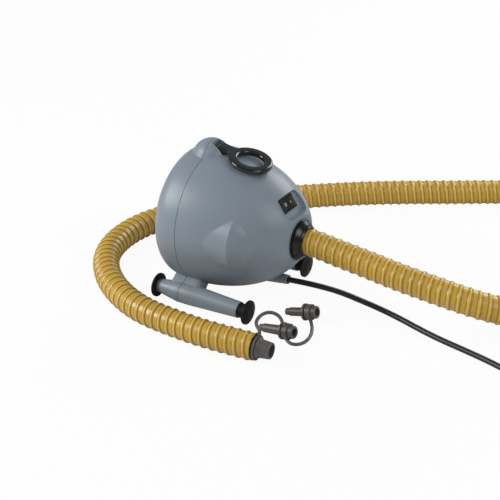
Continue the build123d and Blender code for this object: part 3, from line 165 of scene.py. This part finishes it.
def hose_radius_at(number, turn):
    """The wall, or the rounded rib where the helix passes."""
    off_crest = from_rib(number, turn) / rib_half_width
    if number * ring_step < hose_seat or off_crest > 1:
        return hose_wall_radius
    return hose_wall_radius + (hose_radius - hose_wall_radius) * cos(pi / 2 * off_crest) ** rib_roundness


def plastic(name, colour, roughness, grain, grain_scale, shade=0.06, coat=0.0, gloss=0.5):
    """Moulded plastic or rubber: one colour with faint clouds, and a fine grain on its skin."""
    material = bpy.data.materials.new(name)
    material.use_nodes = True
    tree = material.node_tree
    shader = tree.nodes["Principled BSDF"]
    place = tree.nodes.new("ShaderNodeTexCoord")
    clouds = tree.nodes.new("ShaderNodeTexNoise")
    clouds.inputs["Scale"].default_value = 9.0      # clouds about a hand's width across
    clouds.inputs["Detail"].default_value = 3.0
    tree.links.new(place.outputs["Object"], clouds.inputs["Vector"])
    tint = tree.nodes.new("ShaderNodeValToRGB")
    tint.color_ramp.elements[0].position = 0.3
    tint.color_ramp.elements[0].color = (*[channel * (1 - shade) for channel in colour], 1)
    tint.color_ramp.elements[1].position = 0.7
    tint.color_ramp.elements[1].color = (*[channel * (1 + shade) for channel in colour], 1)
    tree.links.new(clouds.outputs["Fac"], tint.inputs["Fac"])
    tree.links.new(tint.outputs["Color"], shader.inputs["Base Color"])
    skin = tree.nodes.new("ShaderNodeTexNoise")
    skin.inputs["Scale"].default_value = grain_scale
    skin.inputs["Detail"].default_value = 2.0
    tree.links.new(place.outputs["Object"], skin.inputs["Vector"])
    bump = tree.nodes.new("ShaderNodeBump")
    bump.inputs["Strength"].default_value = grain
    bump.inputs["Distance"].default_value = 0.0004
    tree.links.new(skin.outputs["Fac"], bump.inputs["Height"])
    tree.links.new(bump.outputs["Normal"], shader.inputs["Normal"])
    polish = tree.nodes.new("ShaderNodeMapRange")
    polish.inputs["To Min"].default_value = roughness * 0.9
    polish.inputs["To Max"].default_value = roughness * 1.1
    tree.links.new(clouds.outputs["Fac"], polish.inputs["Value"])
    tree.links.new(polish.outputs["Result"], shader.inputs["Roughness"])
    shader.inputs["Specular IOR Level"].default_value = gloss
    shader.inputs["Coat Weight"].default_value = coat
    shader.inputs["Coat Roughness"].default_value = 0.12
    return material


def dress(material, *names):
    """Give a material to CAD nodes."""
    for name in names:
        node = nodes[name]
        if not node.data.materials:
            node.data.materials.append(material)
        for slot in node.material_slots:
            slot.material = material


def paint_rib_light_and_shade(material):
    """Paint the rib's light and shade into its colour: a painted highlight on the crest, painted shade at
    the foot.
    """
    crest_painted_highlight = (1.45, 1.45, 1.6, 1)
    # Places out from the crest, as shares of half the pitch, each with the brightness of its painted light
    # and shade.
    flank, foot, wall_edge = (0.22, 1.05), (0.4, 0.42), (0.6, 0.9)
    plain_wall = 0.85
    tree = material.node_tree
    shader = tree.nodes["Principled BSDF"]
    plain = shader.inputs["Base Color"].links[0].from_socket
    reach = tree.nodes.new("ShaderNodeAttribute")
    reach.attribute_name = "off_rib"
    painted_rib_shading = tree.nodes.new("ShaderNodeValToRGB")
    painted_rib_shading.color_ramp.elements[0].color = crest_painted_highlight
    painted_rib_shading.color_ramp.elements[1].position = plain_wall
    painted_rib_shading.color_ramp.elements[1].color = (1, 1, 1, 1)
    for position, level in (flank, foot, wall_edge):
        painted_rib_shading.color_ramp.elements.new(position).color = (level, level, level * level, 1)
    tree.links.new(reach.outputs["Fac"], painted_rib_shading.inputs["Fac"])
    both = tree.nodes.new("ShaderNodeVectorMath")
    both.operation = "MULTIPLY"
    tree.links.new(plain, both.inputs[0])
    tree.links.new(painted_rib_shading.outputs["Color"], both.inputs[1])
    tree.links.new(both.outputs["Vector"], shader.inputs["Base Color"])
    return material


hose = tube_mesh("ribbed_hose", hose_path, hose_sides, hose_radius_at)
off_rib = hose.data.attributes.new("off_rib", "FLOAT", "POINT")
off_rib.data.foreach_set("value", [from_rib(number, side / hose_sides) / (rib_pitch / 2)
                                   for number in range(len(hose_path)) for side in range(hose_sides)])
hose_plastic = plastic("hose_plastic", (0.565, 0.34, 0.04), roughness=0.36, grain=0.12, grain_scale=700,
                       shade=0.08, coat=0.2)
# The hose's colour carries painted highlight on each rib's crest and painted shade at its foot.
hose.data.materials.append(paint_rib_light_and_shade(hose_plastic))
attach(hose, "root")
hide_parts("hose")

# ------------------------------------------------------- nozzle, adapters and their tether
# The nozzle is pushed into the hose's end, behind a thin black ring. Two stepped adapters
# for other valves hang on one soft moulded tether. All are of a brown-grey plastic.

nozzle_plastic = plastic("nozzle_plastic", (0.1, 0.086, 0.081), roughness=0.42, grain=0.15,
                         grain_scale=1200, shade=0.05)
dress(nozzle_plastic, "nozzle", "adapter_wide", "adapter_narrow", "tether")
black_plastic = plastic("black_plastic", (0.006, 0.0055, 0.005), roughness=0.22, grain=0.1,
                        grain_scale=1500, shade=0.2, gloss=0.35)
dress(black_plastic, "hose_end_ring")

# ------------------------------------------------------------------------- mains cable
# A round black rubber cable leaves the spout under the nose and lies on the floor. The
# rest of it is wound into a tied coil, with a plain two-pin plug on its end.

cable_route = [
    (0.077, 0, 0.038), (0.089, 0, 0.03916), (0.107, 0.0035, 0.0388), (0.127, 0.0125, 0.0345),
    (0.15, 0.026, 0.0262), (0.18, 0.037, 0.015), (0.21, 0.041, 0.008), (0.244, 0.0365, 0.0047),
    (0.28, 0.025, 0.0043), (0.316, 0.015, 0.00435), (0.352, 0.008, 0.0043), (0.388, 0, 0.0046),
    (0.4192, -0.0095, 0.00545), (0.4399, -0.01705, 0.00545),
]
cable_diameter = 0.0085
coil_centre = Vector((0.489066, 0.02436, 0))
coil_radii = [0.05575, 0.04725, 0.03875]
coil_low_z = 0.00545           # its lower layer, on the floor
coil_high_z = coil_low_z + cable_diameter
coil_start, coil_finish = radians(250), radians(340)
shift_span = radians(60)       # how far round the cable takes to move over to the next turn
top_shift_delay = radians(100)
points_per_turn = 24
stub_length, lead_length = 0.032, 0.056
lead_rest, lead_aim = 0.014, 0.024    # how long the lead keeps each end's heading
plug_middle_z = 0.009


def ease(share):
    """A share of 0 to 1 that starts and stops gently."""
    share = min(max(share, 0.0), 1.0)
    return share * share * (3 - 2 * share)


def coil_point(angle):
    """The cable's place at an angle wound from the coil's start: in along the floor, then out on top."""
    low_turns = len(coil_radii)
    radius = coil_radii[0]
    for number in range(1, low_turns):
        began = number * 2 * pi
        radius += (coil_radii[number] - coil_radii[number - 1]) * ease((angle - began) / shift_span)
    for number in range(1, low_turns):
        began = (low_turns + number) * 2 * pi + top_shift_delay
        radius += (coil_radii[-1 - number] - coil_radii[-number]) * ease((angle - began) / shift_span)
    height = coil_low_z + (coil_high_z - coil_low_z) * ease((angle - low_turns * 2 * pi) / shift_span + 0.5)
    turned = coil_start + angle
    return coil_centre + Vector((radius * cos(turned), radius * sin(turned), height))


coil_angle = 2 * pi * 2 * len(coil_radii) + coil_finish - coil_start
coil_count = round(points_per_turn * coil_angle / (2 * pi))
coil_turns = [coil_point(coil_angle * number / coil_count) for number in range(coil_count + 1)]
exit_heading = Vector((-sin(coil_finish), cos(coil_finish), 0))
stub_end = coil_turns[-1] + exit_heading * stub_length
lead_end = stub_end + exit_heading * lead_length
lead_end.z = plug_middle_z
lead = [stub_end, stub_end + exit_heading * lead_rest, lead_end - exit_heading * lead_aim, lead_end]
cable = route_curve("mains_cable_sheath", cable_route + coil_turns + lead)
cable.data.bevel_depth = cable_diameter / 2
cable.data.bevel_resolution = 5
cable.data.use_fill_caps = True
cable_sheath = plastic("cable_sheath", (0.011, 0.011, 0.012), roughness=0.36, grain=0.2, grain_scale=900,
                       shade=0.2)
cable.data.materials.append(cable_sheath)
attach(cable, "root")
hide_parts("mains_cable", "cable_coil", "plug_lead")
dress(cable_sheath, "inner_cable")
dress(black_plastic, "plug_body", "cable_tie", "cord_clamp")


def metal(name, colour, roughness, streak):
    """Bare or plated metal with fine streaks in its polish."""
    material = bpy.data.materials.new(name)
    material.use_nodes = True
    tree = material.node_tree
    shader = tree.nodes["Principled BSDF"]
    shader.inputs["Base Color"].default_value = (*colour, 1)
    shader.inputs["Metallic"].default_value = 1.0
    place = tree.nodes.new("ShaderNodeTexCoord")
    grain = tree.nodes.new("ShaderNodeTexNoise")
    grain.inputs["Scale"].default_value = streak
    grain.inputs["Detail"].default_value = 4.0
    tree.links.new(place.outputs["Object"], grain.inputs["Vector"])
    polish = tree.nodes.new("ShaderNodeMapRange")
    polish.inputs["To Min"].default_value = roughness * 0.75
    polish.inputs["To Max"].default_value = roughness * 1.25
    tree.links.new(grain.outputs["Fac"], polish.inputs["Value"])
    tree.links.new(polish.outputs["Result"], shader.inputs["Roughness"])
    bump = tree.nodes.new("ShaderNodeBump")
    bump.inputs["Strength"].default_value = 0.15
    bump.inputs["Distance"].default_value = 0.0002
    tree.links.new(grain.outputs["Fac"], bump.inputs["Height"])
    tree.links.new(bump.outputs["Normal"], shader.inputs["Normal"])
    return material


pin_brass = metal("pin_brass", (0.75, 0.58, 0.3), roughness=0.28, streak=900)
dress(pin_brass, "plug_pins")

# -------------------------------------------------------------------------- casing
# Two moulded shells of blue-grey plastic with a satin skin. The front one carries the
# pods, the hump and most of the foot bars, and the rear one screws into it.

casing_plastic = plastic("casing_plastic", (0.225, 0.265, 0.305), roughness=0.4, grain=0.1,
                         grain_scale=1400, shade=0.03)
dress(casing_plastic, "front_shell", "rear_shell")

# --------------------------------------------------------------------- carrying ring
# A glossy black ring and its neck, moulded in one piece. It is hinged in the hump's slot on
# a plated steel pin.

ring_plastic = plastic("ring_plastic", (0.005, 0.005, 0.006), roughness=0.14, grain=0.03, grain_scale=300,
                       shade=0.2, coat=0.2)
dress(ring_plastic, "ring_handle")
plated_steel = metal("plated_steel", (0.56, 0.56, 0.57), roughness=0.32, streak=900)
dress(plated_steel, "ring_pin")

# ------------------------------------------------------------------ feet and rubber pieces
# Black rubber discs on stems, pushed into the ends of the foot bars. The sleeve in the
# cable's spout and the mounts of the fan and motor are of the same rubber.

black_rubber = plastic("black_rubber", (0.007, 0.0065, 0.006), roughness=0.55, grain=0.35, grain_scale=800,
                       shade=0.2, gloss=0.25)
dress(black_rubber, "front_feet", "rear_feet", "cable_gland", "fan_mount", "motor_cup")

# ------------------------------------------------------------------------ ports and cuff
# Black plastic collars line the outlet and the inlet, and the hose's cuff pushes into either
# one. A grille and a disc of dark foam keep dust out of the inlet.

dress(black_plastic, "outlet_collar", "hose_cuff", "inlet_collar", "inlet_grille")
filter_foam = plastic("filter_foam", (0.02, 0.02, 0.02), roughness=0.9, grain=1.0,
                      grain_scale=1600, shade=0.3)
dress(filter_foam, "inlet_filter")

# -------------------------------------------------------------------------- switch
# A rocker in a rectangular housing that clips into the pocket. White marks on the rocker
# show which end is off and which is on.

dress(black_plastic, "switch_housing")
dress(pin_brass, "switch_terminals")
rocker_plastic = plastic("rocker_plastic", (0.012, 0.007, 0.006), roughness=0.38, grain=0.08,
                         grain_scale=900, shade=0.15, gloss=0.3)
dress(rocker_plastic, "rocker")
mark_paint = plastic("mark_paint", (0.8, 0.8, 0.78), roughness=0.5, grain=0.1, grain_scale=900, shade=0.03)
face_slope, rocker_tilt = radians(56), radians(9)
pocket_middle = Vector((0.0735, 0, 0.161))
pivot_depth = 0.003
dish_height, dish_rise = 0.0046, 0.0019    # its hollow face over the pivot, and its rise to the ends
rocker_half_length = 0.012
mark_reach, mark_line_radius = 0.0055, 0.0004
ring_half_width, ring_half_height, ring_points = 0.0017, 0.0023, 28
line_half_height = 0.0021
face_out = Vector((sin(face_slope), 0, cos(face_slope)))
face_up = Vector((-cos(face_slope), 0, sin(face_slope)))
rocker_along = Vector((0, cos(rocker_tilt), 0)) + face_out * sin(rocker_tilt)
rocker_out = rocker_along.cross(face_up)
pivot = pocket_middle - face_out * pivot_depth


def rocker_mark(name, along, points, closed):
    """A raised white mark on the rocker's hollow face, drawn as a thin round line."""
    curve = bpy.data.curves.new(name, "CURVE")
    curve.dimensions = "3D"
    spline = curve.splines.new("POLY")
    spline.points.add(len(points) - 1)
    for control, (right, up) in zip(spline.points, points):
        place = along + right
        out = dish_height + dish_rise * (place / rocker_half_length) ** 2
        control.co = (*(pivot + rocker_along * place + face_up * up + rocker_out * out), 1.0)
    spline.use_cyclic_u = closed
    curve.bevel_depth = mark_line_radius
    curve.bevel_resolution = 2
    curve.use_fill_caps = True
    curve.materials.append(mark_paint)
    mark = link(bpy.data.objects.new(name, curve))
    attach(mark, "switch_rocker")


ring_turns = [2 * pi * number / ring_points for number in range(ring_points)]
off_ring = [(ring_half_width * cos(turn), ring_half_height * sin(turn)) for turn in ring_turns]
on_line = [(0, -line_half_height), (0, 0), (0, line_half_height)]
rocker_mark("rocker_off_mark", -mark_reach, off_ring, True)
rocker_mark("rocker_on_mark", mark_reach, on_line, False)

# ------------------------------------------------------------------------- fan and motor
# A pressed fan on the motor's shaft blows through a pale diffuser. The motor has laminated
# cores, copper windings and carbon brushes, and a black plastic carrier holds its nose.

diffuser_plastic = plastic("diffuser_plastic", (0.6, 0.6, 0.56), roughness=0.5, grain=0.1, grain_scale=900)
brush_carbon = plastic("brush_carbon", (0.03, 0.03, 0.03), roughness=0.7, grain=0.4,
                       grain_scale=2000, shade=0.3)
core_steel = metal("core_steel", (0.3, 0.3, 0.31), roughness=0.5, streak=1400)
fan_metal = metal("fan_metal", (0.68, 0.69, 0.7), roughness=0.38, streak=700)
copper_wire = metal("copper_wire", (0.7, 0.3, 0.14), roughness=0.35, streak=1800)
dress(diffuser_plastic, "diffuser")
dress(fan_metal, "fan_can", "impeller", "motor_bracket", "end_bracket")
dress(plated_steel, "shaft", "bearings", "motor_can", "impeller_nut", "brush_springs")
dress(core_steel, "stator_core", "armature_core")
dress(copper_wire, "field_coils", "armature_winding", "commutator")
dress(brush_carbon, "brushes")
dress(black_plastic, "motor_carrier", "brush_holders")

# -------------------------------------------------------------------------------- screws
# Plated steel screws join the two shells, and hold the motor's carrier and the clamp of the
# cable in the front one.

dress(plated_steel, "shell_screws", "carrier_screws", "clamp_screws")

# --------------------------------------------------------------------- floor and light
# A plain white floor and weak light all round. The main light is a broad one from the left,
# with weaker ones from the right and from behind.

floor_white, air_white = 0.94, 1.0    # how much of each the camera sees as plain white
floor_reach, floor_drop = 6.0, 0.0002
air_strength = 0.34


def studio_white(tree, surface, share):
    """A share of white where the camera sees it, and surface for all other light."""
    path = tree.nodes.new("ShaderNodeLightPath")
    amount = tree.nodes.new("ShaderNodeMath")
    amount.operation = "MULTIPLY"
    amount.inputs[1].default_value = share
    tree.links.new(path.outputs["Is Camera Ray"], amount.inputs[0])
    mix = tree.nodes.new("ShaderNodeMixShader")
    tree.links.new(amount.outputs["Value"], mix.inputs["Fac"])
    tree.links.new(surface.outputs[0], mix.inputs[1])
    return mix


floor_mesh = bpy.data.meshes.new("studio_floor")
floor_corners = [(-floor_reach, -floor_reach, 0), (floor_reach, -floor_reach, 0),
                 (floor_reach, floor_reach, 0), (-floor_reach, floor_reach, 0)]
floor_mesh.from_pydata(floor_corners, [], [(0, 1, 2, 3)])
floor = link(bpy.data.objects.new("studio_floor", floor_mesh))
floor.location.z = -floor_drop
floor_paint = bpy.data.materials.new("studio_floor_paint")
floor_paint.use_nodes = True
paint_tree = floor_paint.node_tree
paint_shader = paint_tree.nodes["Principled BSDF"]
paint_shader.inputs["Base Color"].default_value = (0.8, 0.8, 0.8, 1)
paint_shader.inputs["Roughness"].default_value = 0.9
paint_shader.inputs["Specular IOR Level"].default_value = 0.0
white_glow = paint_tree.nodes.new("ShaderNodeEmission")
white_glow.inputs["Strength"].default_value = 1.0
paint_mix = studio_white(paint_tree, paint_shader, floor_white)
paint_tree.links.new(white_glow.outputs[0], paint_mix.inputs[2])
paint_tree.links.new(paint_mix.outputs[0], paint_tree.nodes["Material Output"].inputs["Surface"])
floor_mesh.materials.append(floor_paint)

world = bpy.data.worlds.new("studio_air")
bpy.context.scene.world = world
world.use_nodes = True
air_tree = world.node_tree
dim_air = air_tree.nodes["Background"]
dim_air.inputs["Color"].default_value = (0.93, 0.96, 1.0, 1)
dim_air.inputs["Strength"].default_value = air_strength
white_air = air_tree.nodes.new("ShaderNodeBackground")
white_air.inputs["Strength"].default_value = 1.0
air_mix = studio_white(air_tree, dim_air, air_white)
air_tree.links.new(white_air.outputs[0], air_mix.inputs[2])
air_tree.links.new(air_mix.outputs[0], air_tree.nodes["World Output"].inputs["Surface"])


def soft_box(name, place, aim, side, power):
    """A square studio lamp that faces a point."""
    lamp_data = bpy.data.lights.new(name, "AREA")
    lamp_data.shape = "SQUARE"
    lamp_data.size = side
    lamp_data.energy = power
    lamp = link(bpy.data.objects.new(name, lamp_data))
    lamp.location = place
    lamp.rotation_mode = "QUATERNION"
    lamp.rotation_quaternion = (Vector(aim) - Vector(place)).to_track_quat("-Z", "Y")


soft_box("key_lamp", place=(-1.45, -1.1, 1.1), aim=(0, 0, 0.1), side=0.95, power=30)
soft_box("side_lamp", place=(1.5, -0.2, 1.2), aim=(0, 0, 0.1), side=0.8, power=9)
soft_box("back_lamp", place=(0.3, 1.7, 1.0), aim=(0, 0.1, 0), side=1.0, power=15)

bpy.context.scene.view_settings.view_transform = "Standard"
